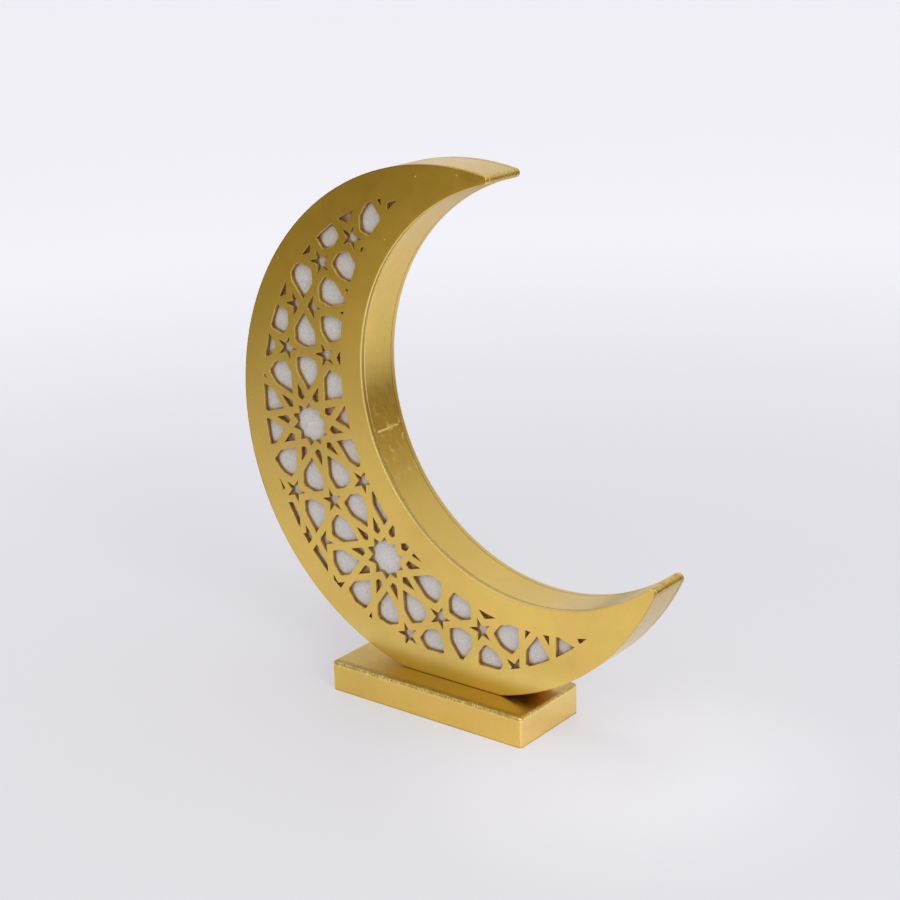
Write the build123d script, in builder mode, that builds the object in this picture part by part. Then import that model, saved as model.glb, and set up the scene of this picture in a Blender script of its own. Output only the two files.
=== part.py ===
from build123d import *

import math
import os

# Crescent: a disc with a round mouth taken out of it, standing on a flat
outer_radius = 150.0
crescent_width = 99.1
mouth_angle = 26.7
mouth_half_angle = 46.7
crescent_depth = 30.0
seat_flat_depth = 4.0
top_point_radius = 2.4
bottom_point_radius = 3.1

# Base board
base_length = 137.5
base_width = 56.0
base_height = 18.0
base_corner_radius = 2.5
base_edge_radius = 1.6
crescent_offset_x = 7.15
crescent_offset_y = 4.75

# Edge band, one strip bent round the crescent between its panels and closed in the mouth
band_thickness = 1.4
band_edge_chamfer = 0.4
band_seam_gap = 0.25
band_seam_angle = 198.0

# Front panel
panel_thickness = 3.0
panel_edge_chamfer = 0.3
window_margin = 15.3
smallest_opening = 1.2

# Ten-fold star pattern, set out from the star in the crescent's widest part
star_radius = 16.75
star_edge_distance = 50.35
star_angle = 184.8
strap_width = 4.2
pattern_stretch_share = 1.036
pattern_skew_share = -0.025
lattice_reach = 4

# Diffuser
diffuser_thickness = 1.5
diffuser_lap = 5.0
diffuser_point_radius = 2.0

# Back panel
back_thickness = 3.0

# Spacer dowels, placed by shares of the way from the top point to the bottom point
dowel_radius = 4.0
dowel_gap = 0.3
outer_dowel_shares = (0.07, 0.85, 0.94)
inner_dowel_shares = (0.195, 0.34, 0.635)

# Mounting block over the seat
block_length = 60.0
block_height = 10.0
block_chamfer = 1.0

# Screws
screw_clearance = 0.2
thread_clearance = 0.05
base_screw_radius = 2.0
base_screw_head_radius = 4.0
base_screw_recess = 0.3
base_screw_bite = 8.0
base_screw_spacing = 40.0
back_screw_radius = 1.3
back_screw_head_radius = 2.5
back_screw_head_height = 1.1
back_screw_bite = 7.0

# Light strip
strip_width = 8.0
strip_thickness = 0.4
strip_adhesive = 0.1
strip_back_distance = 9.0
strip_start_share = 0.17
strip_tail_angle = 5.0
chip_size = 5.0
chip_height = 1.6
chip_count = 13
chip_lead_angle = 3.0
chip_tail_angle = 7.0

# AA cells
cell_radius = 7.2
cell_length = 50.5
cell_nub_radius = 2.7
cell_nub_height = 1.2
cell_count = 3
cell_pitch = 15.3

# Battery case, upright in the crescent's widest part
case_wall = 1.5
case_clearance = 0.4
case_fit = 0.3
flange_width = 4.0
flange_thickness = 1.2
case_corner_radius = 2.0
switch_room_height = 6.0
divider_width = 1.2
divider_height = 4.0

# Battery contacts
contact_thickness = 0.4
contact_width = 7.0
contact_gap = 0.1
contact_bow = 4.6
contact_margin = 2.2

# Battery cover
cover_thickness = 1.4
cover_ledge = 0.8
cover_clearance = 0.2
cover_rib_height = 1.0
cover_rib_width = 1.2
thumb_groove_width = 1.6
thumb_groove_length = 16.0
thumb_groove_depth = 0.6
thumb_groove_pitch = 3.2
thumb_groove_count = 3

# Slide switch
switch_offset_x = 14.0
switch_length = 9.0
switch_height = 4.6
switch_depth = 4.2
switch_wall = 0.8
switch_travel = 2.0
knob_clearance = 0.2
knob_foot_depth = 1.6
knob_stem_length = 2.6
knob_stem_height = 2.0
knob_stand_out = 1.2

# Lead wires from the case to the light strip
wire_radius = 0.65
wire_sides = 8
wire_pitch = 2.4
wire_clearance = 0.15
wire_inside = 2.5
wire_drop = 21.7
wire_end_gap = 0.2
wire_bend_share = 0.45

# One overrun for every cut that passes right through
cut_overrun = 1.0

os.makedirs("parts", exist_ok=True)

centre_z = base_height + outer_radius - seat_flat_depth
front_y = crescent_offset_y - crescent_depth / 2
diffuser_back = panel_thickness + diffuser_thickness
back_front = crescent_depth - back_thickness
band_depth = back_front - panel_thickness
band_inner_radius = outer_radius - band_thickness

# The mouth's circle runs through the crescent's two points and leaves its width at the widest
near_side = outer_radius - crescent_width
points_line = outer_radius * math.cos(math.radians(mouth_half_angle))
points_reach = outer_radius * math.sin(math.radians(mouth_half_angle))
mouth_shift = (outer_radius**2 - near_side**2) / (2 * (near_side + points_line))
inner_radius = mouth_shift + near_side
inner_half_angle = math.degrees(math.atan2(points_reach, mouth_shift - points_line))
golden = (1 + math.sqrt(5)) / 2


def crescent_plane(depth):
    """The upright plane at a depth behind the crescent's front edge, facing forwards."""
    origin = (crescent_offset_x, front_y + depth, centre_z)
    return Plane(origin, x_dir=(1, 0, 0), z_dir=(0, -1, 0))


def polar(radius, angle):
    """A point at a radius and an angle in degrees about the crescent's centre."""
    turn = math.radians(angle)
    return Vector(radius * math.cos(turn), radius * math.sin(turn))


mouth_centre = polar(mouth_shift, mouth_angle)
widest_angle = mouth_angle + 180
case_centre = polar(outer_radius - crescent_width / 2, widest_angle)
star_centre = polar(outer_radius - star_edge_distance, star_angle)


def crescent_face(inset, top_radius=0, bottom_radius=0):
    """The crescent's face drawn in by an inset, with rounded points and its flat seat."""
    with BuildSketch() as face:
        Circle(outer_radius - inset)
        with Locations(mouth_centre):
            Circle(inner_radius + inset, mode=Mode.SUBTRACT)
        if top_radius:
            fillet(face.vertices().sort_by(Axis.Y)[-1], top_radius)
        if bottom_radius:
            fillet(face.vertices().sort_by(Axis.X)[-1], bottom_radius)
        with Locations((0, seat_flat_depth - outer_radius + inset)):
            Rectangle(2 * outer_radius, outer_radius, align=(Align.CENTER, Align.MAX), mode=Mode.SUBTRACT)
    return face.sketch


def outer_angle(share):
    """The angle about the crescent's centre at a share of the way round its outside."""
    return mouth_angle + mouth_half_angle + share * (360 - 2 * mouth_half_angle)


def mouth_edge_angle(share):
    """The angle about the mouth's centre at a share of the way round the mouth's edge."""
    return widest_angle + (2 * share - 1) * inner_half_angle


def dowel_places():
    """The dowels' centres, beside the band along the outside and along the mouth."""
    inset = band_thickness + dowel_gap + dowel_radius
    outside = [polar(outer_radius - inset, outer_angle(share)) for share in outer_dowel_shares]
    inside = [polar(inner_radius + inset, mouth_edge_angle(share)) for share in inner_dowel_shares]
    return outside + [mouth_centre + place for place in inside]


def finish(part, name):
    """Labels a finished piece and writes it to its own file."""
    part.label = name
    export_step(part, f"parts/{name}.step")


# Base board: rounded corners, softened top edge, two countersunk holes from below
base_screw_places = [
    (crescent_offset_x + side * base_screw_spacing / 2, crescent_offset_y) for side in (-1, 1)
]
with BuildPart() as base_block:
    with BuildSketch(Plane.XY):
        RectangleRounded(base_length, base_width, base_corner_radius)
    extrude(amount=base_height)
    fillet(base_block.edges().group_by(Axis.Z)[-1], base_edge_radius)
    with Locations(Plane.XY.rotated((180, 0, 0))):
        with Locations(*[(x, -y) for x, y in base_screw_places]):
            CounterSinkHole(
                base_screw_radius + screw_clearance,
                base_screw_head_radius + screw_clearance + base_screw_recess,
                counter_sink_angle=90,
            )
finish(base_block.part, "base_block")

# Edge band: follows the outline between the panels, its two ends meeting at a seam in the mouth
with BuildPart() as edge_band:
    with BuildSketch(crescent_plane(back_front)):
        add(crescent_face(0, top_point_radius, bottom_point_radius))
    extrude(amount=band_depth)
    chamfer(edge_band.faces().filter_by(Axis.Y).edges(), band_edge_chamfer)
    with BuildSketch(crescent_plane(back_front)):
        inner_radii = [radius - band_thickness for radius in (top_point_radius, bottom_point_radius)]
        add(crescent_face(band_thickness, *inner_radii))
        with Locations(mouth_centre):
            with PolarLocations(inner_radius + band_thickness / 2, 1, start_angle=band_seam_angle):
                Rectangle(2 * band_thickness, band_seam_gap)
    extrude(amount=band_depth, mode=Mode.SUBTRACT)
    with BuildSketch(Plane.XY.offset(base_height)):
        with Locations(*base_screw_places):
            Circle(base_screw_radius + screw_clearance)
    extrude(amount=band_thickness, mode=Mode.SUBTRACT)
finish(edge_band.part, "edge_band")


def turned(points, angle):
    """Points turned by an angle in degrees about the origin."""
    return [Vector(x, y).rotate(Axis.Z, angle) for x, y in points]


def star_outline(tips, tip_radius, notch_radius, first_angle):
    """The outline of a star, from its tips' and its notches' radii."""
    step = 180 / tips
    return [
        polar(notch_radius if corner % 2 else tip_radius, first_angle + corner * step)
        for corner in range(2 * tips)
    ]


def shifted(points, place):
    """Points moved by a vector."""
    return [point + place for point in points]


def lattice_cells():
    """Outlines of one repeat's openings, along the straps' centre lines, for a star radius of one."""
    sine = math.sin(math.radians(36))
    cosine = math.cos(math.radians(36))
    notch = math.tan(math.radians(36))
    rim = 2 * math.cos(math.radians(18))
    petal = [
        (0, 1),
        (sine, 1 + cosine),
        (sine, 1 + cosine + 1 / golden),
        (0, golden**2),
        (-sine, 1 + cosine + 1 / golden),
        (-sine, 1 + cosine),
    ]
    cells = [star_outline(10, 1, notch, 90)]
    for arm in range(10):
        cells.append(turned(petal, 36 * arm))
        direction = 72 + 36 * arm
        kite = [(notch, direction), (1, direction + 18), (rim, direction), (1, direction - 18)]
        cells.append([polar(*corner) for corner in kite])
    star_reach = 1 / (2 * sine)
    for direction in (36, -36, 72, -72):
        star = star_outline(5, star_reach, star_reach / golden**2, direction + 180)
        cells.append(shifted(star, polar(rim + star_reach, direction)))
    crossing = Vector(math.tan(math.radians(72)), 0)
    arrow = [
        (0, 0),
        (-sine, cosine),
        (-sine, 1 / golden**2 / 2),
        (-2 * sine, 0),
        (-sine, -1 / golden**2 / 2),
        (-sine, -cosine),
    ]
    for angle in (0, 180):
        cells.append(shifted(turned(arrow, angle), crossing))
        cells.append(shifted(turned([(x, y - 1) for x, y in petal], angle), crossing))
    return cells


def drawn_in(points, distance):
    """A closed outline moved inwards by a distance, its corners kept sharp."""
    area = sum(a.X * b.Y - b.X * a.Y for a, b in zip(points, points[1:] + points[:1]))
    corners = points if area > 0 else points[::-1]
    moved = []
    for before, here, after in zip(corners[-1:] + corners[:-1], corners, corners[1:] + corners[:1]):
        arriving = (here - before).normalized()
        leaving = (after - here).normalized()
        turn = arriving.X * leaving.Y - arriving.Y * leaving.X
        along = (1 - arriving.dot(leaving)) / turn
        moved.append(here + (Vector(-arriving.Y, arriving.X) - arriving * along) * distance)
    return moved


def on_panel(point):
    """A pattern point placed on the panel, with the pattern's stretch and skew."""
    return (
        star_centre.X + pattern_stretch_share * point.X,
        star_centre.Y + point.Y + pattern_skew_share * point.X,
    )


def near_crescent(point):
    """Whether a point lies on the crescent, so that its opening may reach the window."""
    place = Vector(*point)
    return place.length < outer_radius and (place - mouth_centre).length > inner_radius


def panel_openings():
    """The faces of the openings that the window's outline leaves of the pattern."""
    step = 2 * golden**2 * star_radius
    slants = [polar(step, 54), polar(step, -54)]
    count = range(-lattice_reach, lattice_reach + 1)
    outlines = []
    for first in count:
        for second in count:
            lattice_point = slants[0] * first + slants[1] * second
            for cell in lattice_cells():
                corners = drawn_in([corner * star_radius for corner in cell], strap_width / 2)
                outline = [on_panel(corner + lattice_point) for corner in corners]
                if any(near_crescent(point) for point in outline):
                    outlines.append(outline)
    with BuildSketch() as openings:
        add(crescent_face(window_margin))
        add(
            [Polygon(*outline, align=None, mode=Mode.PRIVATE) for outline in outlines],
            mode=Mode.INTERSECT,
        )
    return openings.faces().filter_by(lambda face: face.area > smallest_opening**2)


# Front panel: covers the band's front edge, pierced with the star pattern
with BuildPart() as front_panel:
    with BuildSketch(crescent_plane(panel_thickness)):
        add(crescent_face(0, top_point_radius, bottom_point_radius))
    extrude(amount=panel_thickness)
    chamfer(front_panel.faces().sort_by(Axis.Y)[0].edges(), panel_edge_chamfer)
    with BuildSketch(crescent_plane(panel_thickness)):
        add(panel_openings())
    extrude(amount=panel_thickness, mode=Mode.SUBTRACT)
finish(front_panel.part, "front_panel")

# Diffuser: a plain sheet behind the pierced window
diffuser_inset = window_margin - diffuser_lap
with BuildPart() as diffuser_sheet:
    with BuildSketch(crescent_plane(diffuser_back)):
        add(crescent_face(diffuser_inset, diffuser_point_radius, diffuser_point_radius))
    extrude(amount=diffuser_thickness)
finish(diffuser_sheet.part, "diffuser_sheet")

# Battery case sizes, worked out from the cells
cell_room_width = (cell_count - 1) * cell_pitch + 2 * (cell_radius + case_clearance)
cell_room_height = cell_length + contact_thickness + contact_gap + contact_bow
cell_room_depth = 2 * cell_radius + case_clearance
case_width = cell_room_width + 2 * case_wall
case_height = cell_room_height + switch_room_height + 3 * case_wall
case_rear = crescent_depth + flange_thickness
cell_room_rear = case_rear - cover_thickness
cell_floor = cell_room_rear - cell_room_depth
case_front = cell_floor - case_wall
cell_room_z = case_centre.Y + (case_height - cell_room_height) / 2 - case_wall
switch_room_z = case_centre.Y - case_height / 2 + case_wall + switch_room_height / 2
switch_x = case_centre.X + switch_offset_x
block_z = seat_flat_depth - outer_radius + band_thickness + block_height / 2
back_screw_places = [(place.X, place.Y) for place in dowel_places()] + [(0, block_z)]

# Back panel: covers the band's back edge, with the battery case's opening and its screw holes
with BuildPart() as back_panel:
    with BuildSketch(crescent_plane(crescent_depth)):
        add(crescent_face(0, top_point_radius, bottom_point_radius))
    extrude(amount=back_thickness)
    chamfer(back_panel.faces().sort_by(Axis.Y)[-1].edges(), panel_edge_chamfer)
    with BuildSketch(crescent_plane(crescent_depth)):
        with Locations(case_centre):
            Rectangle(case_width + 2 * case_fit, case_height + 2 * case_fit)
        with Locations(*back_screw_places):
            Circle(back_screw_radius + screw_clearance)
    extrude(amount=back_thickness, mode=Mode.SUBTRACT)
finish(back_panel.part, "back_panel")

# Spacer dowels: hold the two panels apart and take the back panel's screws
with BuildPart() as spacer_dowels:
    with BuildSketch(crescent_plane(back_front)):
        with Locations(*dowel_places()):
            Circle(dowel_radius)
    extrude(amount=band_depth)
    with BuildSketch(crescent_plane(back_front)):
        with Locations(*dowel_places()):
            Circle(back_screw_radius + thread_clearance)
    extrude(amount=back_screw_bite + cut_overrun, mode=Mode.SUBTRACT)
finish(spacer_dowels.part, "spacer_dowels")

# Mounting block: sits on the band's flat inside the crescent and takes the base screws
block_depth = back_front - diffuser_back
with BuildPart() as mounting_block:
    with BuildSketch(crescent_plane(back_front)):
        with Locations((0, block_z)):
            Rectangle(block_length, block_height)
    extrude(amount=block_depth)
    chamfer(mounting_block.edges().filter_by(Axis.Y).group_by(Axis.Z)[-1], block_chamfer)
    with BuildSketch(crescent_plane(back_front)):
        with Locations((0, block_z)):
            Circle(back_screw_radius + thread_clearance)
    extrude(amount=back_screw_bite + cut_overrun, mode=Mode.SUBTRACT)
    with BuildSketch(Plane.XY.offset(base_height + band_thickness)):
        with Locations(*base_screw_places):
            Circle(base_screw_radius + thread_clearance)
    extrude(amount=base_screw_bite + cut_overrun, mode=Mode.SUBTRACT)
finish(mounting_block.part, "mounting_block")

# Base screws: countersunk, from below through the base and the band into the block
base_screw_head_height = base_screw_head_radius - base_screw_radius
screw_tip_z = base_height + band_thickness + base_screw_bite
with BuildPart() as base_screws:
    with BuildSketch(Plane.XY.offset(base_screw_recess)):
        with Locations(*base_screw_places):
            Circle(base_screw_radius)
    extrude(amount=screw_tip_z - base_screw_recess)
    with Locations(*[(x, y, base_screw_recess) for x, y in base_screw_places]):
        Cone(
            base_screw_head_radius,
            base_screw_radius,
            base_screw_head_height,
            align=(Align.CENTER, Align.CENTER, Align.MIN),
        )
finish(base_screws.part, "base_screws")

# Back screws: pan heads on the back panel, shanks in the dowels and the block
with BuildPart() as back_screws:
    with BuildSketch(crescent_plane(crescent_depth)):
        with Locations(*back_screw_places):
            Circle(back_screw_radius)
    extrude(amount=back_thickness + back_screw_bite)
    with BuildSketch(crescent_plane(crescent_depth + back_screw_head_height)):
        with Locations(*back_screw_places):
            Circle(back_screw_head_radius)
    extrude(amount=back_screw_head_height)
finish(back_screws.part, "back_screws")

# Light strip: lies on the inside of the band along the crescent's back
strip_middle = back_front - strip_back_distance
strip_start_angle = outer_angle(strip_start_share)
wire_bend = case_centre - Vector(0, case_height / 2 + wire_drop)
wire_end_angle = math.degrees(math.atan2(wire_bend.Y, wire_bend.X)) % 360
strip_end_angle = wire_end_angle + strip_tail_angle
first_chip_angle = strip_start_angle + chip_lead_angle
strip_back_radius = band_inner_radius - strip_adhesive
strip_face_radius = strip_back_radius - strip_thickness
with BuildPart() as led_strip:
    with BuildSketch(crescent_plane(strip_middle + strip_width / 2)):
        with BuildLine():
            CenterArc(
                (0, 0),
                strip_back_radius - strip_thickness / 2,
                strip_start_angle,
                strip_end_angle - strip_start_angle,
            )
        trace(line_width=strip_thickness)
    extrude(amount=strip_width)
finish(led_strip.part, "led_strip")

# Light chips: evenly spaced on the strip, their flat backs on its curve
chip_seat_radius = math.sqrt(strip_face_radius**2 - (chip_size / 2) ** 2)
with BuildPart() as led_chips:
    with BuildSketch(crescent_plane(strip_middle + chip_size / 2)):
        with PolarLocations(
            chip_seat_radius - chip_height / 2,
            chip_count,
            start_angle=first_chip_angle,
            angular_range=strip_end_angle - strip_tail_angle - chip_tail_angle - first_chip_angle,
            endpoint=True,
        ):
            Rectangle(chip_height, chip_size)
    extrude(amount=chip_size)
finish(led_chips.part, "led_chips")

# Battery case: a tray let in through the back panel, with a flange and a switch room
mouth_width = cell_room_width + 2 * cover_ledge
mouth_height = cell_room_height + 2 * cover_ledge
slot_length = knob_stem_length + switch_travel + 2 * knob_clearance
slot_height = knob_stem_height + 2 * knob_clearance
wire_depths = [strip_middle + side * wire_pitch / 2 for side in (-1, 1)]
with BuildPart() as battery_case:
    with BuildSketch(crescent_plane(case_rear)):
        with Locations(case_centre):
            RectangleRounded(
                case_width + 2 * flange_width, case_height + 2 * flange_width, case_corner_radius
            )
    extrude(amount=flange_thickness)
    with BuildSketch(crescent_plane(crescent_depth)):
        with Locations(case_centre):
            Rectangle(case_width, case_height)
    extrude(amount=crescent_depth - case_front)
    with BuildSketch(crescent_plane(case_rear)):
        with Locations((case_centre.X, cell_room_z)):
            Rectangle(mouth_width, mouth_height)
    extrude(amount=cover_thickness, mode=Mode.SUBTRACT)
    with BuildSketch(crescent_plane(case_rear)):
        with Locations((case_centre.X, cell_room_z)):
            Rectangle(cell_room_width, cell_room_height)
    extrude(amount=case_rear - cell_floor, mode=Mode.SUBTRACT)
    with BuildSketch(crescent_plane(crescent_depth)):
        with Locations((case_centre.X, switch_room_z)):
            Rectangle(cell_room_width, switch_room_height)
    extrude(amount=crescent_depth - cell_floor, mode=Mode.SUBTRACT)
    with BuildSketch(crescent_plane(case_rear)):
        with Locations((switch_x, switch_room_z)):
            Rectangle(slot_length, slot_height)
    extrude(amount=flange_thickness, mode=Mode.SUBTRACT)
    with BuildSketch(crescent_plane(cell_floor)):
        with Locations((case_centre.X, cell_room_z)):
            with GridLocations(cell_pitch, 0, cell_count - 1, 1):
                Rectangle(divider_width, cell_room_height)
    extrude(amount=-divider_height)
    with BuildSketch(Plane.XY.offset(centre_z + case_centre.Y - case_height / 2)):
        with Locations(*[(crescent_offset_x + wire_bend.X, front_y + depth) for depth in wire_depths]):
            Circle(wire_radius + wire_clearance)
    extrude(amount=case_wall, mode=Mode.SUBTRACT)
finish(battery_case.part, "battery_case")

# AA cells: side by side, the middle one the other way up
cell_depth = cell_floor + cell_radius
cell_body_length = cell_length - cell_nub_height
cell_room_top = cell_room_z + cell_room_height / 2
cell_room_bottom = cell_room_z - cell_room_height / 2
for index in range(cell_count):
    nub_up = index % 2 == 0
    cell_x = case_centre.X + (index - (cell_count - 1) / 2) * cell_pitch
    if nub_up:
        foot = cell_room_top - contact_thickness - contact_gap - cell_length
        way = (0, 0, 1)
    else:
        foot = cell_room_bottom + contact_thickness + contact_gap + cell_length
        way = (0, 0, -1)
    foot_plane = Plane(
        (crescent_offset_x + cell_x, front_y + cell_depth, centre_z + foot), x_dir=(1, 0, 0), z_dir=way
    )
    with BuildPart() as aa_cell:
        with BuildSketch(foot_plane):
            Circle(cell_radius)
        extrude(amount=cell_body_length)
        with BuildSketch(foot_plane.offset(cell_body_length)):
            Circle(cell_nub_radius)
        extrude(amount=cell_nub_height)
    finish(aa_cell.part, f"aa_cell_{index + 1}")


def contact_ends(spring):
    """Each contact's cell and end: springs face the cells' flat ends, plates their nubs."""
    ends = []
    for index in range(cell_count):
        nub_up = index % 2 == 0
        at_top = nub_up != spring
        wall_z = cell_room_top if at_top else cell_room_bottom
        cell_x = case_centre.X + (index - (cell_count - 1) / 2) * cell_pitch
        ends.append((cell_x, wall_z, -1 if at_top else 1))
    return ends


# Contact springs: bowed leaves between the case's end walls and the cells' flat ends
with BuildPart() as contact_springs:
    for cell_x, wall_z, inward in contact_ends(spring=True):
        side_plane = Plane(
            (crescent_offset_x + cell_x + contact_width / 2, front_y + cell_floor, centre_z + wall_z),
            x_dir=(0, 1, 0),
            z_dir=(1, 0, 0),
        )
        near = contact_thickness / 2
        far = contact_bow - contact_gap - contact_thickness
        high = cell_room_depth - contact_margin
        with BuildSketch(side_plane):
            with BuildLine():
                Polyline(
                    (contact_margin, inward * near),
                    (high, inward * near),
                    (cell_radius, inward * far),
                    (contact_margin + contact_thickness, inward * (near + 2 * contact_thickness)),
                )
            trace(line_width=contact_thickness)
        extrude(amount=-contact_width)
finish(contact_springs.part, "contact_springs")

# Contact plates: flat, against the case's end walls at the cells' nubs
with BuildPart() as contact_plates:
    for cell_x, wall_z, inward in contact_ends(spring=False):
        plate_z = wall_z + inward * contact_thickness / 2
        with BuildSketch(crescent_plane(cell_depth + contact_width / 2)):
            with Locations((cell_x, plate_z)):
                Rectangle(contact_width, contact_thickness)
        extrude(amount=contact_width)
finish(contact_plates.part, "contact_plates")

# Battery cover: lies in the case's mouth, with a locating rib and thumb grooves
with BuildPart() as battery_cover:
    with BuildSketch(crescent_plane(case_rear)):
        with Locations((case_centre.X, cell_room_z)):
            Rectangle(mouth_width - 2 * cover_clearance, mouth_height - 2 * cover_clearance)
    extrude(amount=cover_thickness)
    rib_reach = cell_room_height / 2 - cover_clearance - cover_rib_width / 2
    with BuildSketch(crescent_plane(cell_room_rear)):
        with Locations((case_centre.X, cell_room_z - rib_reach), (case_centre.X, cell_room_z + rib_reach)):
            Rectangle(cell_room_width - 2 * cover_clearance, cover_rib_width)
    extrude(amount=cover_rib_height)
    with BuildSketch(crescent_plane(case_rear)):
        with Locations((case_centre.X, cell_room_bottom + thumb_groove_length / 2)):
            with GridLocations(0, thumb_groove_pitch, 1, thumb_groove_count):
                SlotOverall(thumb_groove_length, thumb_groove_width)
    extrude(amount=thumb_groove_depth, mode=Mode.SUBTRACT)
finish(battery_cover.part, "battery_cover")

# Switch body: behind the flange in the switch room, open towards the rear
foot_length = knob_stem_length + 2 * switch_wall
switch_room = foot_length + switch_travel + 2 * knob_clearance
knob_room_depth = knob_foot_depth + 2 * knob_clearance
with BuildPart() as switch_body:
    with BuildSketch(crescent_plane(crescent_depth)):
        with Locations((switch_x, switch_room_z)):
            Rectangle(switch_length, switch_height)
    extrude(amount=switch_depth)
    with BuildSketch(crescent_plane(crescent_depth)):
        with Locations((switch_x, switch_room_z)):
            Rectangle(switch_room, switch_height - 2 * switch_wall)
    extrude(amount=knob_room_depth, mode=Mode.SUBTRACT)
finish(switch_body.part, "switch_body")

# Switch knob: a foot in the body and a stem out through the flange, shown at the off end
knob_x = switch_x - switch_travel / 2
knob_foot_rear = crescent_depth - knob_clearance
with BuildPart() as switch_knob:
    with BuildSketch(crescent_plane(knob_foot_rear)):
        with Locations((knob_x, switch_room_z)):
            Rectangle(foot_length, switch_height - 2 * (switch_wall + knob_clearance))
    extrude(amount=knob_foot_depth)
    with BuildSketch(crescent_plane(case_rear + knob_stand_out)):
        with Locations((knob_x, switch_room_z)):
            Rectangle(knob_stem_length, knob_stem_height)
    extrude(amount=case_rear + knob_stand_out - knob_foot_rear)
finish(switch_knob.part, "switch_knob")

# Lead wires: out of the case's lower wall, one bend, and square onto the light strip
wire_top = case_centre.Y - case_height / 2 + case_wall + wire_inside
wire_end = polar(strip_face_radius - wire_end_gap, wire_end_angle)
shorter_run = min(wire_top - wire_bend.Y, (wire_end - wire_bend).length)
half_turn = math.radians(270 - wire_end_angle) / 2
bend_radius = wire_bend_share * shorter_run / math.tan(half_turn)
wire_route = [(wire_bend.X, wire_top), (wire_bend.X, wire_bend.Y), (wire_end.X, wire_end.Y)]
with BuildPart() as lead_wires:
    for depth in wire_depths:
        with BuildLine(crescent_plane(depth)) as route:
            FilletPolyline(*wire_route, radius=bend_radius)
        with BuildSketch(Plane(origin=route.line @ 0, z_dir=route.line % 0)):
            RegularPolygon(wire_radius, wire_sides)
        sweep(path=route.line)
print("lead wire bend radius", round(bend_radius, 2))
finish(lead_wires.part, "lead_wires")
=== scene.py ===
import math

import bmesh
import bpy
import numpy as np
from mathutils import Matrix, Vector


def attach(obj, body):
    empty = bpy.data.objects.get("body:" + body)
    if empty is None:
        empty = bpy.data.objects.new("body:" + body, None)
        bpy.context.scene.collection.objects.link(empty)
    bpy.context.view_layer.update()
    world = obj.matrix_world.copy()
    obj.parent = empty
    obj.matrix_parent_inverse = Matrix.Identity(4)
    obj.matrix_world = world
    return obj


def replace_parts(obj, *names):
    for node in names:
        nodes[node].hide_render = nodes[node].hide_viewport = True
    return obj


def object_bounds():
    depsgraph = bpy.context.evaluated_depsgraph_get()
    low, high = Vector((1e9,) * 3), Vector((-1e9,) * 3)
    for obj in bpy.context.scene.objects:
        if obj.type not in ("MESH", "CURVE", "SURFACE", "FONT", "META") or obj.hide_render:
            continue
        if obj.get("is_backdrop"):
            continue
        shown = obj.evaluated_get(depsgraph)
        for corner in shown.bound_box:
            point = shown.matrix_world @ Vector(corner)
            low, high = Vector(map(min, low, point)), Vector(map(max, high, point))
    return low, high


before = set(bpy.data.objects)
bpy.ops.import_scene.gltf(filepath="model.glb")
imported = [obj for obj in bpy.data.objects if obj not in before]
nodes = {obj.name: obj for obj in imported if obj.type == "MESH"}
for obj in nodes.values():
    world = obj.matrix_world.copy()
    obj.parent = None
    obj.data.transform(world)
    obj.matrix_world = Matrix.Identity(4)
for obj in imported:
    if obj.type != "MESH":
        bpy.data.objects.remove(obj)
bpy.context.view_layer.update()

MM = 0.001


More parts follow.
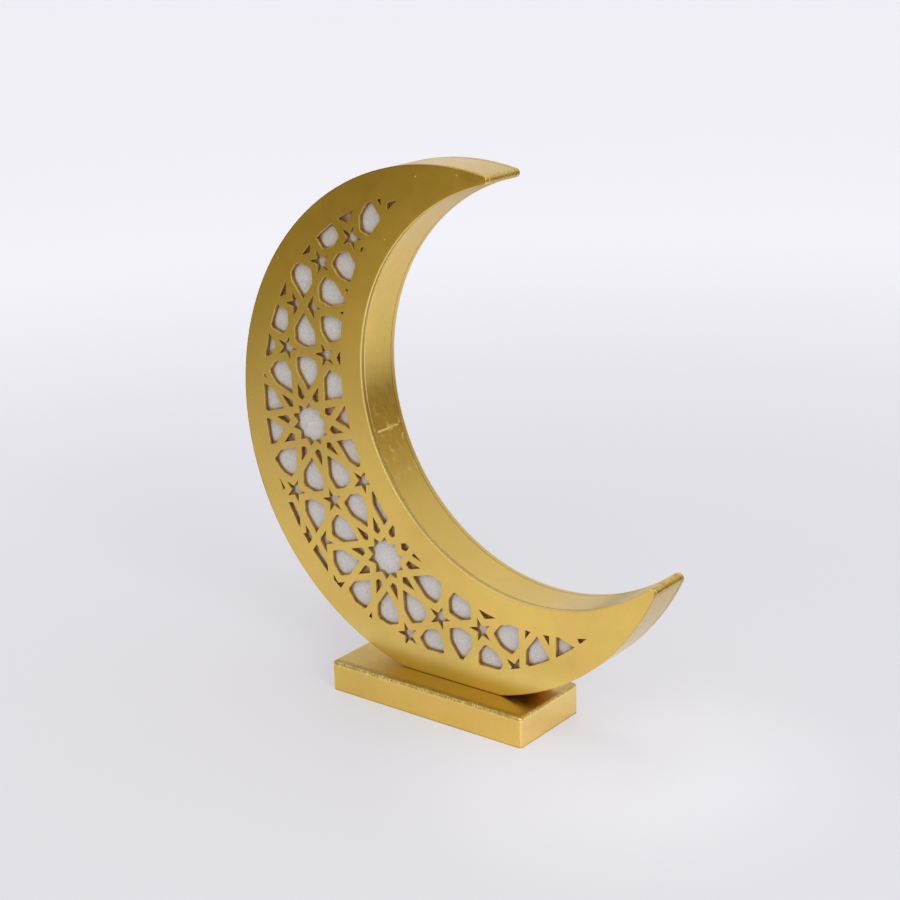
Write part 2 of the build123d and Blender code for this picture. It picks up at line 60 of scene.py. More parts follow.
# ---------------------------------------------------------------- shader helpers
class Surface:
    """One procedural material. Its patterns are measured in millimetres in the object's own space."""

    def __init__(self, name):
        self.mat = bpy.data.materials.new(name)
        self.mat.use_nodes = True
        self.tree = self.mat.node_tree
        self.tree.nodes.clear()
        self.out = self.tree.nodes.new("ShaderNodeOutputMaterial")
        self.bsdf = self.tree.nodes.new("ShaderNodeBsdfPrincipled")
        self.tree.links.new(self.bsdf.outputs[0], self.out.inputs[0])
        coord = self.tree.nodes.new("ShaderNodeTexCoord")
        self.place = self.vector("SCALE", coord.outputs["Object"], scale=1000.0)
        self.axes = self.tree.nodes.new("ShaderNodeSeparateXYZ")
        self.tree.links.new(self.place, self.axes.inputs[0])
        self.normal_axes = None

    def put(self, socket, value):
        if isinstance(value, bpy.types.NodeSocket):
            self.tree.links.new(value, socket)
        elif isinstance(value, (tuple, list)) and len(value) == 3 and len(socket.default_value) == 4:
            socket.default_value = (*value, 1.0)
        else:
            socket.default_value = value

    def vector(self, what, a, b=None, scale=None):
        n = self.tree.nodes.new("ShaderNodeVectorMath")
        n.operation = what
        self.put(n.inputs[0], a)
        if b is not None:
            self.put(n.inputs[1], b)
        if scale is not None:
            self.put(n.inputs[3], scale)
        return n.outputs["Value"] if what in ("LENGTH", "DISTANCE", "DOT_PRODUCT") else n.outputs[0]

    def maths(self, what, a, b=0.0, c=None, clamp=False):
        n = self.tree.nodes.new("ShaderNodeMath")
        n.operation = what
        n.use_clamp = clamp
        self.put(n.inputs[0], a)
        self.put(n.inputs[1], b)
        if c is not None:
            self.put(n.inputs[2], c)
        return n.outputs[0]

    def fit(self, value, low, high, to_low=0.0, to_high=1.0, smooth=True):
        n = self.tree.nodes.new("ShaderNodeMapRange")
        n.interpolation_type = "SMOOTHSTEP" if smooth else "LINEAR"
        for i, v in enumerate((value, low, high, to_low, to_high)):
            self.put(n.inputs[i], v)
        return n.outputs[0]

    def stretched(self, x=1.0, y=1.0, z=1.0, turn=(0, 0, 0)):
        n = self.tree.nodes.new("ShaderNodeMapping")
        n.vector_type = "POINT"
        self.put(n.inputs[0], self.place)
        n.inputs["Scale"].default_value = (x, y, z)
        n.inputs["Rotation"].default_value = turn
        return n.outputs[0]

    def noise(self, size, detail=3.0, rough=0.55, warp=0.0, place=None):
        n = self.tree.nodes.new("ShaderNodeTexNoise")
        self.put(n.inputs["Vector"], self.place if place is None else place)
        n.inputs["Scale"].default_value = 1.0 / size
        n.inputs["Detail"].default_value = detail
        n.inputs["Roughness"].default_value = rough
        n.inputs["Distortion"].default_value = warp
        return n.outputs[0]

    def spots(self, size, radius, share, place=None, soft=0.35):
        """A mask of small round spots: their spacing, their radius as a share of it, and how many there are."""
        n = self.tree.nodes.new("ShaderNodeTexVoronoi")
        self.put(n.inputs["Vector"], self.place if place is None else place)
        n.inputs["Scale"].default_value = 1.0 / size
        inside = self.fit(n.outputs["Distance"], radius, radius * (1 - soft))
        split = self.tree.nodes.new("ShaderNodeSeparateColor")
        self.put(split.inputs[0], n.outputs["Color"])
        return self.maths("MULTIPLY", inside, self.maths("LESS_THAN", split.outputs[0], share))

    def blend(self, share, a, b, how="MIX"):
        n = self.tree.nodes.new("ShaderNodeMix")
        n.data_type = "RGBA"
        n.blend_type = how
        n.clamp_factor = True
        self.put(n.inputs[0], share)
        self.put(n.inputs[6], a)
        self.put(n.inputs[7], b)
        return n.outputs[2]

    def shade(self, colour, amount):
        """A colour made lighter or darker by a factor."""
        n = self.tree.nodes.new("ShaderNodeVectorMath")
        n.operation = "SCALE"
        self.put(n.inputs[0], colour)
        self.put(n.inputs[3], amount)
        return n.outputs[0]

    def bump(self, height, distance, strength=1.0, under=None):
        n = self.tree.nodes.new("ShaderNodeBump")
        n.inputs["Strength"].default_value = strength
        n.inputs["Distance"].default_value = distance
        self.put(n.inputs["Height"], height)
        if under is not None:
            self.put(n.inputs["Normal"], under)
        return n.outputs[0]

    def facing(self, axis):
        """How squarely the surface faces along an axis of the object, from -1 to 1."""
        if self.normal_axes is None:
            coord = self.tree.nodes.new("ShaderNodeTexCoord")
            self.normal_axes = self.tree.nodes.new("ShaderNodeSeparateXYZ")
            self.put(self.normal_axes.inputs[0], coord.outputs["Normal"])
        return self.normal_axes.outputs[axis]

    def finish(self, colour, rough, metal=0.0, normal=None, **sockets):
        self.put(self.bsdf.inputs["Base Color"], colour)
        self.put(self.bsdf.inputs["Roughness"], rough)
        self.put(self.bsdf.inputs["Metallic"], metal)
        if normal is not None:
            self.put(self.bsdf.inputs["Normal"], normal)
        for name, value in sockets.items():
            self.put(self.bsdf.inputs[name.replace("_", " ")], value)
        return self.mat


def srgb(r, g, b):
    """A colour written as it shows on screen, from 0 to 255, made linear."""
    return tuple(
        (c / 255 / 12.92) if c / 255 <= 0.04045 else ((c / 255 + 0.055) / 1.055) ** 2.4 for c in (r, g, b)
    )


def dress(name, material):
    """Gives a CAD node its material."""
    piece = nodes[name]
    piece.data.materials.clear()
    piece.data.materials.append(material)


# ---------------------------------------------------------------- places, in millimetres
CENTRE = Vector((7.15, 164.0))
MOUTH = Vector((64.983, 193.087))
FRONT, BACK = -10.25, 19.75
PANEL_FACE = -10.25
PANEL_REAR = -7.25
BASE_TOP = 18.0
TOP_POINT = Vector((50.0, 0.0, 307.75))
LOW_POINT = Vector((148.1, 0.0, 112.7))
SEAM = Vector((-44.99, 0.0, 157.35))
STRIP_Y = 7.75

GOLD = (0.79, 0.567, 0.135)
GOLD_WARM = (0.815, 0.555, 0.145)
# Grey painted as shade on the outer wall towards the right.
SHADED_WALL_GREY = (0.54, 0.41, 0.16)
SPECKS = ((21.9, 309.7), (-29.0, 271.0), (-138.3, 165.0), (-109.1, 252.9), (-5.6, 307.1), (-49.0, 177.0))


def gold_common(s, tone=1.0, fine=0.35):
    """Lacquer mottling that every gold piece shares: a broad drift, clouds and a fine grain."""
    broad = s.fit(s.noise(70, 2, 0.5), 0.3, 0.7, 0.95, 1.05)
    cloud = s.fit(s.noise(7, 4, 0.6), 0.3, 0.7, 0.985, 1.015)
    grain = s.fit(s.noise(fine, 2, 0.7), 0.25, 0.75, 0.94, 1.06)
    amount = s.maths("MULTIPLY", s.maths("MULTIPLY", broad, cloud), s.maths("MULTIPLY", grain, tone))
    hue = s.blend(s.fit(s.noise(16, 2, 0.5), 0.35, 0.65), GOLD, GOLD_WARM)
    return s.shade(hue, amount)


def slanted(s):
    """Where a surface slopes between facing front or back and facing sideways, as chamfers do."""
    square = s.maths("ABSOLUTE", s.facing(1))
    return s.maths("MULTIPLY", s.fit(square, 0.30, 0.45), s.fit(square, 0.97, 0.88))


def gold_panel(name, pierced):
    """A panel: satin gold lacquer on fibreboard, burnt brown in laser-cut openings, with painted highlights on its
    edges and painted light and shade on its face, walls and joint.
    """
    s = Surface(name)
    face, bright = gold_common(s), 0.0
    pale = s.spots(9, 0.05, 0.3)
    dark = s.spots(13, 0.02, 0.2)
    face = s.blend(pale, face, srgb(250, 235, 170))
    face = s.blend(s.maths("MULTIPLY", dark, 0.8), face, srgb(70, 45, 12))
    flat = s.vector("MULTIPLY", s.place, (1, 0, 1))
    to_mouth = s.vector("DISTANCE", flat, (MOUTH[0], 0, MOUTH[1]))
    inside = s.fit(s.vector("DISTANCE", flat, (CENTRE[0], 0, CENTRE[1])), 144, 143)
    window = s.maths("MULTIPLY", inside, s.maths("MULTIPLY", s.fit(to_mouth, 121, 122), 1.0 if pierced else 0.0))
    by_mouth = s.fit(to_mouth, 118.2, 117.4)
    x, z = s.axes.outputs[0], s.axes.outputs[2]
    upright = s.fit(s.maths("ABSOLUTE", s.facing(1)), 0.75, 0.45)
    wall = s.maths("MULTIPLY", window, upright)
    if pierced:
        depth = s.maths("SUBTRACT", s.axes.outputs[1], PANEL_FACE)
        # Painted light: the face is painted paler near the base, to offset the base's warm reflection, deeper at the
        # top, and lighter to the right and away from the mouth.
        face = s.blend(s.fit(z, 48, 20), face, s.vector("MULTIPLY", face, (1.10, 1.24, 1.5)))
        face = s.blend(s.fit(z, 150, 250), face, s.vector("MULTIPLY", face, (1.03, 1.02, 0.78)))
        lit = s.maths("MULTIPLY", s.fit(to_mouth, 160, 120, 1.0, 1.09), s.fit(x, 0, 60, 1.0, 1.05))
        lit = s.maths("MULTIPLY", lit, s.maths("ADD", 1.0, s.maths("MULTIPLY", s.fit(x, 0, 40), s.fit(z, 50, 25, 0.0, 0.1))))
        face = s.shade(face, lit)
        for speck in SPECKS:
            near = s.vector("DISTANCE", flat, (speck[0], 0, speck[1]))
            bright = s.maths("MAXIMUM", bright, s.fit(near, 0.62, 0.28))
        face = s.blend(bright, face, srgb(255, 226, 150))
    else:
        depth = s.maths("SUBTRACT", BACK, s.axes.outputs[1])
    ragged = s.maths("ADD", depth, s.maths("MULTIPLY", s.maths("SUBTRACT", s.noise(1.1, 3), 0.5), 1.0))
    deep = s.fit(ragged, 0.55, 1.9)
    char = s.blend(s.noise(0.8, 3), srgb(138, 106, 30), srgb(174, 144, 52))
    # The opening walls are burnt brown deeper in. Near the face they carry a painted highlight.
    lip_wall_highlight = s.blend(s.fit(depth, 0.95, 0.4, 0.0, 0.85), s.shade(face, 0.9), srgb(252, 226, 135))
    colour = s.blend(wall, face, s.blend(deep, lip_wall_highlight, char))
    burnt = s.maths("MULTIPLY", wall, deep)
    # Painted shade: a dark line along the side wall where the band meets the panel, varying with height and faded near
    # the points.
    beside = s.maths("MULTIPLY", s.maths("SUBTRACT", 1.0, window), upright)
    wide = s.fit(z, 190, 260, 0.42, 1.25)
    groove_shade = s.fit(s.maths("ABSOLUTE", s.maths("SUBTRACT", depth, 1.9)), wide, s.maths("MULTIPLY", wide, 0.5))
    groove_shade = s.maths("MULTIPLY", groove_shade, beside)
    joint_shade = s.blend(s.fit(s.noise(3.5, 3, 0.7), 0.45, 0.6), srgb(126, 92, 22), srgb(104, 58, 10))
    clear = s.fit(s.vector("DISTANCE", flat, TOP_POINT), 9, 16)
    clear = s.maths("MULTIPLY", clear, s.fit(s.vector("DISTANCE", flat, LOW_POINT), 13, 20))
    strength = s.fit(z, 150, 255, 0.42, 0.95) if pierced else s.fit(z, 150, 230, 0.5, 0.15)
    strength = s.maths("MULTIPLY", strength, clear)
    colour = s.blend(s.maths("MULTIPLY", groove_shade, strength), colour, joint_shade)
    # Painted highlights: bright lines along the chamfers, the openings' front edges and the mouth's front edge, broken
    # up by noise, which also make the surface less metallic.
    broken = s.fit(s.noise(5, 3, 0.6, place=s.stretched(1, 0.2, 1)), 0.36, 0.5, 0.55, 1.0)
    edge = s.maths("MULTIPLY", slanted(s), s.fit(depth, 0.55, 0.35))
    # Painted shade: a darker line round the face's outer edge, strongest on the left and higher up.
    from_centre = s.vector("DISTANCE", flat, (CENTRE[0], 0, CENTRE[1]))
    outline_shade = s.maths("MULTIPLY", s.fit(from_centre, 149.15, 149.6), s.fit(x, 70, -50, 0.2, 0.85))
    outline_shade = s.maths("MULTIPLY", outline_shade, s.fit(z, 55, 110, 0.25, 1.0))
    colour = s.blend(s.maths("MULTIPLY", outline_shade, s.fit(depth, 1.2, 0.6)), colour, srgb(92, 80, 38))
    # Painted shade: the outer wall towards the right is painted grey.
    outer_wall_shade = s.maths("MULTIPLY", s.maths("MULTIPLY", s.fit(from_centre, 149.3, 149.7), upright), s.fit(x, 95, 128))
    colour = s.blend(s.maths("MULTIPLY", outer_wall_shade, 0.8), colour, SHADED_WALL_GREY)
    # Painted highlight: the mouth wall paler at its rear edge on the front panel, and all over on the back panel.
    rim_highlight = s.maths("MULTIPLY", s.maths("MULTIPLY", by_mouth, upright), s.fit(depth, 3.0, 2.5, 0.25, 0.0 if pierced else 0.25))
    colour = s.blend(rim_highlight, colour, srgb(252, 236, 180))
    lip = s.maths("MULTIPLY", s.fit(to_mouth, 116.3, 116.05), s.fit(depth, 1.1, 0.7))
    reach = s.maths("MULTIPLY", s.fit(x, -5, -35), s.fit(z, 90, 120))
    reach = s.maths("MAXIMUM", reach, s.fit(z, 235, 265, 0.06, 0.65))
    lip = s.maths("MULTIPLY", s.maths("MULTIPLY", lip, broken), reach)
    share = s.maths("MAXIMUM", s.maths("MULTIPLY", by_mouth, s.maths("ADD", reach, 0.1)), s.maths("MULTIPLY", window, 0.8))
    edge_highlight = s.maths("MULTIPLY", s.maths("MULTIPLY", edge, broken), share)
    edge_highlight = s.maths("MAXIMUM", edge_highlight, s.maths("MULTIPLY", lip, 0.65 if pierced else 0.4))
    colour = s.blend(edge_highlight, colour, srgb(255, 230, 138))
    rough = s.maths("ADD", s.fit(s.noise(9, 3), 0.3, 0.7, 0.33, 0.37), s.maths("MULTIPLY", burnt, 0.3))
    # The bright specks also make the surface less metallic.
    edge_highlight = s.maths("MAXIMUM", edge_highlight, bright)
    lines = s.maths("MAXIMUM", s.maths("MULTIPLY", groove_shade, strength), outline_shade)
    dull = s.maths("MAXIMUM", s.maths("MULTIPLY", burnt, 0.9), s.maths("MULTIPLY", lines, 0.15))
    rough = s.maths("ADD", rough, s.maths("MULTIPLY", lines, 0.3))
    metal = s.maths("SUBTRACT", 1.0, s.maths("ADD", dull, s.maths("MULTIPLY", edge_highlight, 0.7)), clamp=True)
    coat = s.maths("MULTIPLY", s.maths("SUBTRACT", 1.0, dull), 0.18)
    grain = s.bump(s.noise(0.28, 2, 0.6), 0.012 * MM, 0.5)
    peel = s.bump(s.noise(2.6, 3), 0.004 * MM, 0.6, grain)
    s.bsdf.inputs["Specular IOR Level"].default_value = 0.25
    return s.finish(colour, rough, metal, peel, Coat_Weight=coat, Coat_Roughness=0.2)


def gold_band():
    """Edge band: thin strip, scuffed by its seam, with chipped and browned points, a painted glint on its low point,
    painted highlights and shade along its chamfers, and a painted grey outer side.
    """
    s = Surface("gold_band_satin")
    flat = s.vector("MULTIPLY", s.place, (1, 0, 1))
    colour = gold_common(s)
    chips, crumbs = s.noise(1.1, 4, 0.7), s.noise(0.45, 3, 0.7)
    at_top = s.fit(s.vector("DISTANCE", flat, TOP_POINT), 17, 9)
    at_low = s.fit(s.vector("DISTANCE", flat, LOW_POINT), 15, 7)
    worn = s.maths("MULTIPLY", s.fit(chips, 0.54, 0.60), at_top)
    colour = s.blend(s.maths("MULTIPLY", worn, 0.75), colour, srgb(250, 232, 185))
    pits = s.maths("MULTIPLY", s.fit(crumbs, 0.58, 0.63), at_top)
    colour = s.blend(s.maths("MULTIPLY", pits, 0.8), colour, srgb(84, 46, 14))
    end = s.maths("MULTIPLY", s.fit(s.vector("DISTANCE", flat, TOP_POINT), 3.4, 1.6), s.fit(chips, 0.35, 0.6, 0.4, 1))
    colour = s.blend(end, colour, srgb(120, 66, 22))
    nose = s.fit(s.vector("DISTANCE", flat, LOW_POINT), 14.5, 10.5)
    patches = s.noise(4.5, 3, 0.6)
    rust = s.maths("MULTIPLY", s.fit(patches, 0.50, 0.58), nose)
    colour = s.blend(s.maths("MULTIPLY", rust, 0.6), colour, srgb(150, 92, 40))
    glint = s.maths("MULTIPLY", s.fit(patches, 0.46, 0.40), nose)
    glint = s.maths("MULTIPLY", glint, s.fit(s.axes.outputs[1], PANEL_REAR + 7.0, PANEL_REAR + 1.0, 0.1, 0.8))
    colour = s.blend(s.maths("MULTIPLY", glint, 0.8), colour, srgb(255, 244, 205))
    # Painted shade: the outer wall towards the right is painted grey.
    outside_shade = s.maths("MULTIPLY", s.fit(s.vector("DISTANCE", flat, (CENTRE[0], 0, CENTRE[1])), 149.3, 149.8), s.fit(s.axes.outputs[0], 95, 128))
    colour = s.blend(s.maths("MULTIPLY", outside_shade, 0.8), colour, SHADED_WALL_GREY)
    at_seam = s.fit(s.vector("DISTANCE", flat, SEAM + Vector((3.0, 0.0, -6.0))), 30, 14)
    smears = s.noise(3.4, 4, 0.6, 0.8, place=s.stretched(1, 0.9, 0.7))
    scuffs = s.maths("MULTIPLY", s.fit(smears, 0.55, 0.66), at_seam)
    colour = s.blend(s.maths("MULTIPLY", scuffs, 0.38), colour, srgb(248, 228, 170))
    by_mouth = s.fit(s.vector("DISTANCE", flat, (MOUTH[0], 0, MOUTH[1])), 118.2, 117.4)
    ahead = s.maths("ADD", s.axes.outputs[1], -PANEL_REAR)
    behind = s.maths("SUBTRACT", PANEL_REAR + 24.0, s.axes.outputs[1])
    broken = s.fit(s.noise(6, 3, 0.6, place=s.stretched(1, 0.2, 1)), 0.36, 0.5, 0.4, 1.0)
    # Painted highlight: a bright line along the band's front chamfer in the mouth, high up, broken by noise; it also
    # makes the band less metallic.
    edge_highlight = s.maths("MULTIPLY", s.maths("MULTIPLY", s.fit(ahead, 0.85, 0.6), by_mouth), broken)
    edge_highlight = s.maths("MULTIPLY", edge_highlight, s.fit(ahead, 0.1, 0.22))
    edge_highlight = s.maths("MULTIPLY", edge_highlight, s.fit(s.axes.outputs[2], 145, 185, 0.0, 1.0))
    colour = s.blend(s.maths("MULTIPLY", edge_highlight, 0.7), colour, srgb(255, 234, 148))
    # Painted shade: the same chamfer darker lower down in the mouth.
    low_rim_shade = s.maths("MULTIPLY", s.maths("MULTIPLY", s.fit(ahead, 0.7, 0.45), by_mouth), s.fit(s.axes.outputs[2], 170, 135))
    colour = s.blend(s.maths("MULTIPLY", low_rim_shade, 0.65), colour, srgb(122, 98, 36))
    shade = s.maths("MULTIPLY", s.fit(behind, 0.6, 0.3), s.fit(s.axes.outputs[2], 150, 230, 0.6, 0.15))
    colour = s.blend(shade, colour, srgb(96, 78, 24))
    rough = s.maths("ADD", s.fit(s.noise(5, 3), 0.3, 0.7, 0.27, 0.34), s.maths("MULTIPLY", s.maths("ADD", pits, end), 0.2))
    fine = s.bump(s.noise(0.3, 2, 0.6), 0.012 * MM, 0.5)
    peel = s.bump(s.noise(3.5, 3), 0.028 * MM, 0.6, fine)
    lumps = s.maths("MULTIPLY", s.noise(4, 2, 0.5), s.maths("MULTIPLY", nose, 0.7))
    rubble = s.maths("ADD", s.maths("MULTIPLY", crumbs, s.maths("MAXIMUM", at_top, s.maths("MULTIPLY", at_low, 0.08))), lumps)
    metal = s.maths("SUBTRACT", 1.0, s.maths("ADD", s.maths("MULTIPLY", edge_highlight, 0.6), s.maths("MULTIPLY", scuffs, 0.3)), clamp=True)
    return s.finish(colour, rough, metal, s.bump(rubble, 0.35 * MM, 0.7, peel), Coat_Weight=0.18, Coat_Roughness=0.2)


def gold_base():
    """Base board: sprayed fibreboard, smooth on its faces and rough with fibres along its top edges, with painted
    glints on the fibres, painted light on its right side and corners, and painted shade on its top.
    """
    s = Surface("gold_lacquer_base")
    colour = gold_common(s)
    x, y, z = s.axes.outputs[0], s.axes.outputs[1], s.axes.outputs[2]
    wander = s.maths("MULTIPLY", s.maths("SUBTRACT", s.noise(5, 4, 0.65), 0.5), 1.8)
    out_x = s.maths("SUBTRACT", 68.75, s.maths("ABSOLUTE", x))
    out_y = s.maths("SUBTRACT", 28.0, s.maths("ABSOLUTE", y))
    edges = s.maths("MINIMUM", s.maths("SUBTRACT", 68.75, x), s.maths("ADD", 28.0, y))
    inward = s.maths("ADD", edges, wander)
    down = s.maths("ADD", s.maths("SUBTRACT", BASE_TOP, z), wander)
    fuzz = s.maths("MULTIPLY", s.fit(inward, 6.0, 2.0), s.fit(down, 2.0, 0.8))
    fuzz = s.maths("MULTIPLY", fuzz, s.fit(s.maths("SUBTRACT", 68.75, x), 1.5, 7.0, 0.4, 1.0))
    fibres = s.noise(0.62, 4, 0.75)
    # Painted light: the right side, which faces the right lamp, is painted paler.
    lit_right_side = s.maths("MULTIPLY", s.fit(s.facing(0), 0.6, 0.95), 0.35)
    colour = s.blend(lit_right_side, colour, (0.98, 0.78, 0.42))
    # Painted shade: the top face is painted darker and less blue.
    upward = s.fit(s.facing(2), 0.6, 0.9)
    colour = s.blend(upward, colour, s.vector("MULTIPLY", colour, (0.86, 0.82, 0.68)))
    colour = s.blend(s.maths("MULTIPLY", fuzz, 0.38), colour, srgb(128, 92, 12))
    # Painted shade among the fibres.
    colour = s.blend(s.maths("MULTIPLY", fuzz, s.fit(fibres, 0.50, 0.40, 0.0, 0.5)), colour, srgb(112, 74, 16))
    # Dark specks on the top near its edges, with painted glints among them.
    speckled = s.maths("MULTIPLY", s.fit(s.maths("ADD", edges, s.maths("MULTIPLY", wander, 2.0)), 8.0, 1.5), upward)
    colour = s.blend(s.maths("MULTIPLY", speckled, s.fit(fibres, 0.48, 0.38, 0.0, 0.45)), colour, srgb(122, 84, 14))
    top_glints = s.maths("MULTIPLY", speckled, s.fit(fibres, 0.53, 0.62, 0.0, 0.4))
    strands = s.noise(0.8, 3, 0.7, place=s.stretched(1, 1, 0.3))
    ragged = s.maths("MULTIPLY", s.fit(down, -0.2, 0.5), s.fit(down, 3.4, 1.8))
    ragged = s.maths("MULTIPLY", ragged, s.fit(s.noise(14, 2), 0.42, 0.56, 0.45, 1.0))
    ragged = s.maths("MULTIPLY", ragged, s.fit(s.maths("SUBTRACT", edges, wander), 3.0, 2.0))
    sparkle = s.maths("MULTIPLY", ragged, s.fit(strands, 0.49, 0.57))
    sparkle = s.maths("MAXIMUM", sparkle, s.maths("MULTIPLY", fuzz, s.fit(fibres, 0.58, 0.66)))
    sparkle = s.maths("MAXIMUM", sparkle, top_glints)
    colour = s.blend(s.maths("MULTIPLY", sparkle, 0.8), colour, srgb(255, 238, 165))
    # Painted highlight: pale lines along the base's upright corners, broken by noise, which also make them less
    # metallic.
    corner = s.fit(s.maths("MAXIMUM", out_x, out_y), 0.95, 0.72)
    corner = s.maths("MULTIPLY", corner, s.fit(s.noise(4, 3), 0.35, 0.5, 0.5, 1.0))
    colour = s.blend(s.maths("MULTIPLY", corner, 0.75), colour, srgb(255, 240, 165))
    sides = s.fit(s.maths("ABSOLUTE", s.maths("SUBTRACT", x, CENTRE[0])), 36.5, 34.5)
    foot = s.maths("MULTIPLY", s.fit(z, 0.9, 0.3), s.fit(s.facing(2), 0.5, 0.3))
    colour = s.blend(s.maths("MULTIPLY", foot, 0.5), colour, srgb(140, 100, 40))
    # Painted shade: a dark line on the top where the crescent's faces meet it.
    line = s.maths("ABSOLUTE", s.maths("SUBTRACT", s.maths("ABSOLUTE", s.maths("SUBTRACT", y, 4.75)), 15.1))
    seat = s.maths("MULTIPLY", s.maths("MULTIPLY", s.fit(line, 0.9, 0.2), sides), s.fit(z, BASE_TOP - 0.5, BASE_TOP))
    colour = s.blend(s.maths("MULTIPLY", seat, 0.7), colour, srgb(124, 62, 16))
    rough = s.maths("ADD", s.fit(s.noise(4, 3), 0.3, 0.7, 0.27, 0.36), s.maths("MULTIPLY", fuzz, 0.05))
    metal = s.maths("SUBTRACT", 1.0, s.maths("MULTIPLY", s.maths("ADD", sparkle, corner), 0.6))
    tall = s.maths("MULTIPLY", fuzz, 0.30)
    tall = s.maths("MULTIPLY", fibres, s.maths("ADD", s.maths("MAXIMUM", tall, s.maths("MULTIPLY", speckled, 0.08)), 0.015))
    return s.finish(colour, rough, metal, s.bump(tall, 1.0 * MM, 0.8), Coat_Weight=0.18, Coat_Roughness=0.2)


def opal():
    """Diffuser: frosted sheet with a mottled grain, and painted brown shade near the openings' walls, drawn from
    ambient occlusion.
    """
    s = Surface("opal_frosted")
    mottled = s.noise(1.1, 4, 0.75)
    broad = s.noise(14, 2)
    colour = s.blend(s.fit(mottled, 0.3, 0.7), srgb(206, 206, 215), srgb(238, 239, 246))
    colour = s.blend(s.fit(broad, 0.3, 0.7, 0.0, 0.35), colour, srgb(226, 222, 224))
    # Painted shade: brown near the openings' walls, where ambient occlusion finds them close, lighter in the deepest
    # spots.
    near = s.tree.nodes.new("ShaderNodeAmbientOcclusion")
    near.samples = 8
    near.inputs["Distance"].default_value = 4.0 * MM
    wall_shade = s.fit(near.outputs["AO"], 0.66, 0.45)
    colour = s.blend(s.maths("MULTIPLY", wall_shade, s.fit(near.outputs["AO"], 0.12, 0.40, 0.4, 0.85)), colour, srgb(168, 104, 66))
    rough = s.fit(mottled, 0.3, 0.7, 0.5, 0.7)
    return s.finish(colour, rough, 0.0, s.bump(mottled, 0.12 * MM, 0.6), Subsurface_Weight=0.0)


def plain(name, colour, rough, metal=0.0, size=1.0, depth=0.02, sway=0.12, **sockets):
    """A moulded, plated or painted finish with grain, drift in colour and uneven gloss."""
    s = Surface(name)
    drift = s.fit(s.noise(size * 18, 3), 0.3, 0.7, 1 - sway, 1 + sway)
    fleck = s.fit(s.noise(size, 3, 0.6), 0.3, 0.7, 1 - sway / 2, 1 + sway / 2)
    made = s.shade(colour, s.maths("MULTIPLY", drift, fleck))
    gloss = s.fit(s.noise(size * 5, 3), 0.3, 0.7, rough * 0.85, min(1.0, rough * 1.15))
    return s.finish(made, gloss, metal, s.bump(s.noise(size, 3), depth * MM, 0.6), **sockets)


def wood():
    """Unfinished softwood: growth rings along the length, with darker pores."""
    s = Surface("raw_softwood")
    rings = s.noise(1.8, 4, 0.6, 0.4, place=s.stretched(1.0, 0.06, 0.8))
    pores = s.noise(0.35, 2, 0.6, place=s.stretched(1.0, 0.05, 1.0))
    colour = s.blend(s.fit(rings, 0.35, 0.65), srgb(214, 178, 128), srgb(178, 134, 84))
    colour = s.blend(s.fit(pores, 0.6, 0.75, 0, 0.5), colour, srgb(120, 84, 50))
    return s.finish(colour, s.fit(rings, 0.3, 0.7, 0.6, 0.8), 0.0, s.bump(pores, 0.06 * MM, 0.7))


def wires():
    """The two leads' sleeves, one red and one black."""
    s = Surface("wire_sleeve_soft")
    behind = s.fit(s.axes.outputs[1], STRIP_Y - 0.1, STRIP_Y + 0.1)
    colour = s.blend(behind, srgb(158, 26, 22), srgb(26, 26, 28))
    drift = s.fit(s.noise(3, 3), 0.3, 0.7, 0.9, 1.1)
    gloss = s.fit(s.noise(1.5, 3), 0.3, 0.7, 0.36, 0.5)
    return s.finish(s.shade(colour, drift), gloss, 0.0, s.bump(s.noise(0.4, 3), 0.01 * MM, 0.6))


def cell():
    """An AA cell: a printed-looking plain sleeve shrunk over a nickel can, bare at both ends."""
    s = Surface("cell_sleeve")
    side = s.fit(s.maths("ABSOLUTE", s.facing(2)), 0.6, 0.4)
    sleeve = s.blend(s.noise(9, 3), srgb(58, 92, 112), srgb(66, 102, 122))
    bare = s.blend(s.noise(0.6, 3), srgb(190, 188, 182), srgb(222, 220, 214))
    scuff = s.maths("MULTIPLY", s.fit(s.noise(2.4, 5, 0.7, place=s.stretched(1, 1, 0.25)), 0.62, 0.68), 0.4)
    colour = s.blend(side, bare, s.blend(scuff, sleeve, srgb(120, 146, 160)))
    rough = s.fit(s.noise(3, 3), 0.3, 0.7, 0.24, 0.36)
    return s.finish(colour, rough, s.maths("SUBTRACT", 1.0, side), s.bump(s.noise(0.8, 3), 0.008 * MM, 0.5))


wire_m, cell_m = wires(), cell()
gold_p, gold_b, gold_s = gold_panel("gold_lacquer_pierced", True), gold_band(), gold_base()
gold_r = gold_panel("gold_lacquer_rear", False)
opal_m, wood_m = opal(), wood()
dark_m = plain("dark_moulding_grain", srgb(38, 38, 41), 0.5, size=0.35, depth=0.05)
switch_m = plain("switch_nylon", srgb(205, 203, 196), 0.35, size=0.6, depth=0.01, sway=0.04)
steel_m = plain("nickel_plate", srgb(205, 203, 196), 0.28, 1.0, size=0.5, depth=0.01)
screw_m = plain("zinc_plate", srgb(196, 188, 160), 0.33, 1.0, size=0.6, depth=0.015)
film_m = plain("strip_white_film", srgb(238, 234, 222), 0.4, size=0.8, depth=0.01, sway=0.04)
chip_m = plain("chip_phosphor", srgb(235, 205, 90), 0.3, size=0.5, depth=0.01, sway=0.06)

